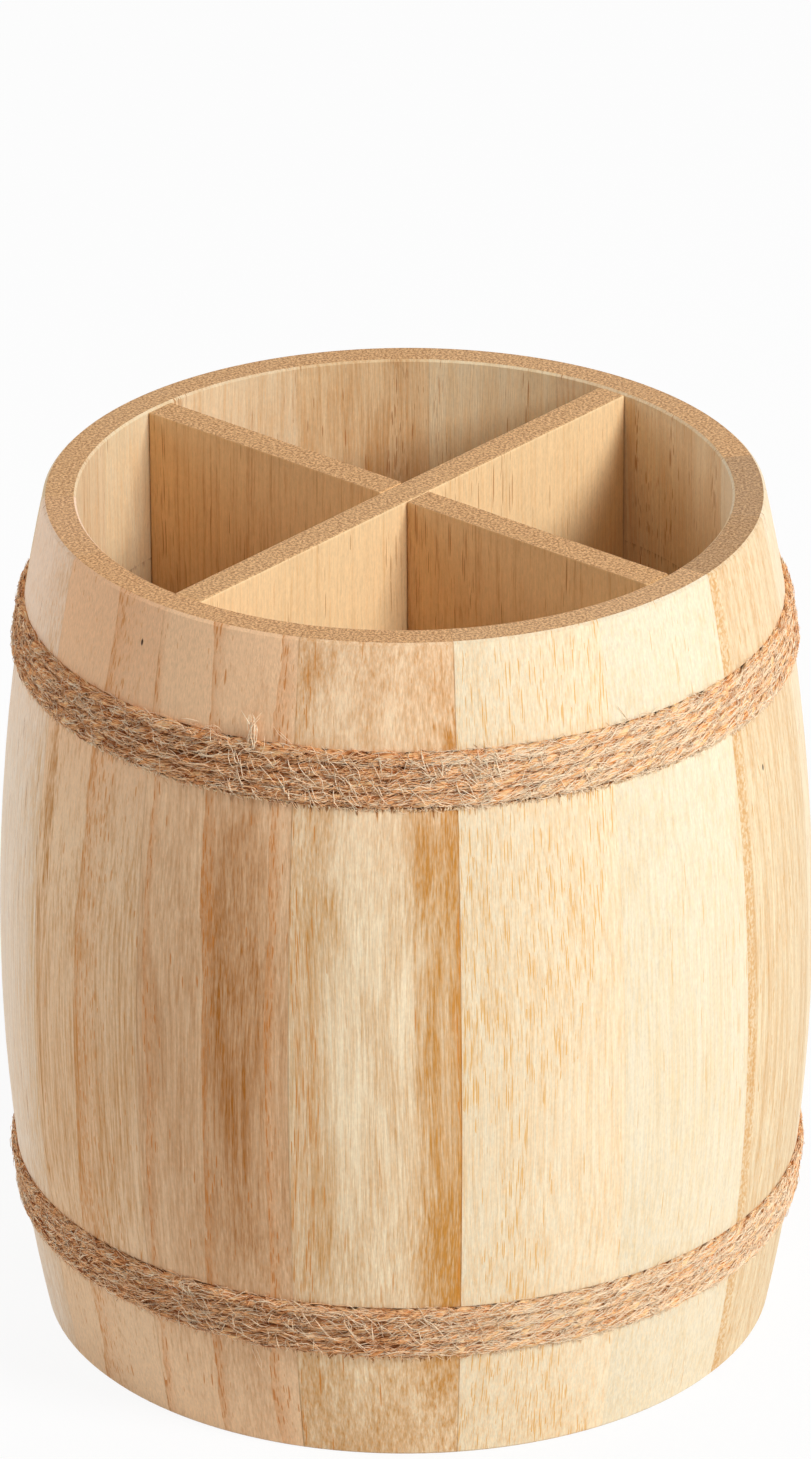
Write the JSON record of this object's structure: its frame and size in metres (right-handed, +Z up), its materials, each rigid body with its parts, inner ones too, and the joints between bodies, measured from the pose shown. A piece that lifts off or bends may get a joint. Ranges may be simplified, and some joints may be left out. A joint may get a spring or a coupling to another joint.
{
  "type": "barrel cutlery caddy",
  "caption": "Upright wooden barrel caddy of glued staves with rope bands in turned grooves and a cross divider that parts the open inside into compartments for cutlery.",
  "frame": {"origin": "middle of the foot, on the plane that the staves' lower ends stand on", "axes": "+Z up along the barrel's axis; X and Y along the two divider boards"},
  "size_m": [0.15, 0.15, 0.162],
  "materials": {
    "stave_wood": "pale ring-porous wood, turned and sanded, unvarnished",
    "board_wood": "sawn and sanded pale wood, grain upright",
    "bottom_wood": "sanded pale wood",
    "jute_rope": "hairy twisted jute twine"
  },
  "bodies": {
    "root": {"stave_01": "stave_wood", "stave_02": "stave_wood", "stave_03": "stave_wood", "stave_04": "stave_wood", "stave_05": "stave_wood", "stave_06": "stave_wood", "stave_07": "stave_wood", "stave_08": "stave_wood", "stave_09": "stave_wood", "stave_10": "stave_wood", "stave_11": "stave_wood", "stave_12": "stave_wood", "stave_13": "stave_wood", "stave_14": "stave_wood", "stave_15": "stave_wood", "bottom_disc": "bottom_wood", "divider_board_top_slot": "board_wood", "divider_board_bottom_slot": "board_wood", "rope_band_upper": "jute_rope", "rope_band_lower": "jute_rope"}
  },
  "joints": []
}
